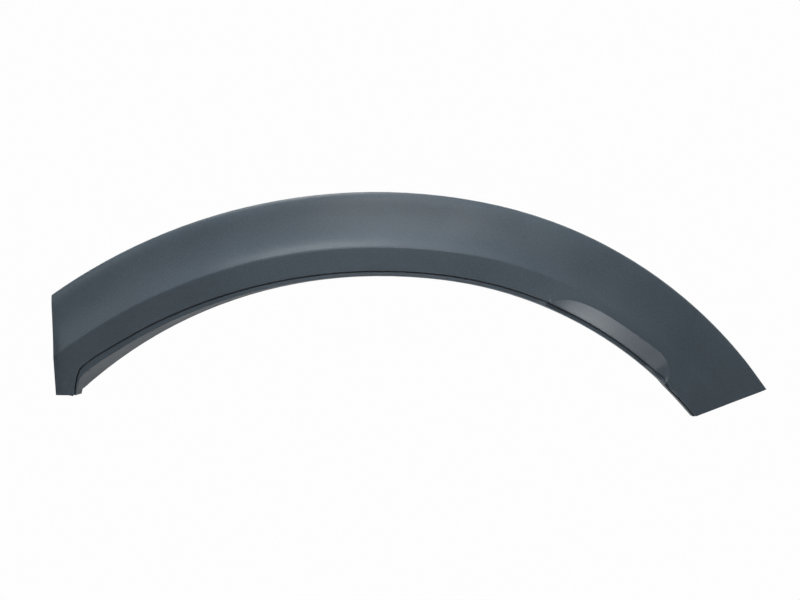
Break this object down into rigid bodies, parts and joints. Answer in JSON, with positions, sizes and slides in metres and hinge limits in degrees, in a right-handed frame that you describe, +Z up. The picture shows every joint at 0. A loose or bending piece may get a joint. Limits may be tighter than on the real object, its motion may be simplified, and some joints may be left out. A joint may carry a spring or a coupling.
{
  "type": "wheel arch trim",
  "caption": "Moulded plastic wheel arch trim with a flared outer face, a crease line, a return lip with screw holes, locating pins and clip towers on its back.",
  "frame": {"origin": "on the axis of the middle locating pin, at the seat where the pin leaves the trim's back", "axes": "+X along the car to the right as the outer face is seen, +Y into the body panel, +Z up"},
  "size_m": [0.5808, 0.0483, 0.1813],
  "materials": {
    "moulded_pp": "satin, fine moulded grain, dark slate grey"
  },
  "bodies": {
    "root": {"arch_trim": "moulded_pp"}
  },
  "joints": []
}
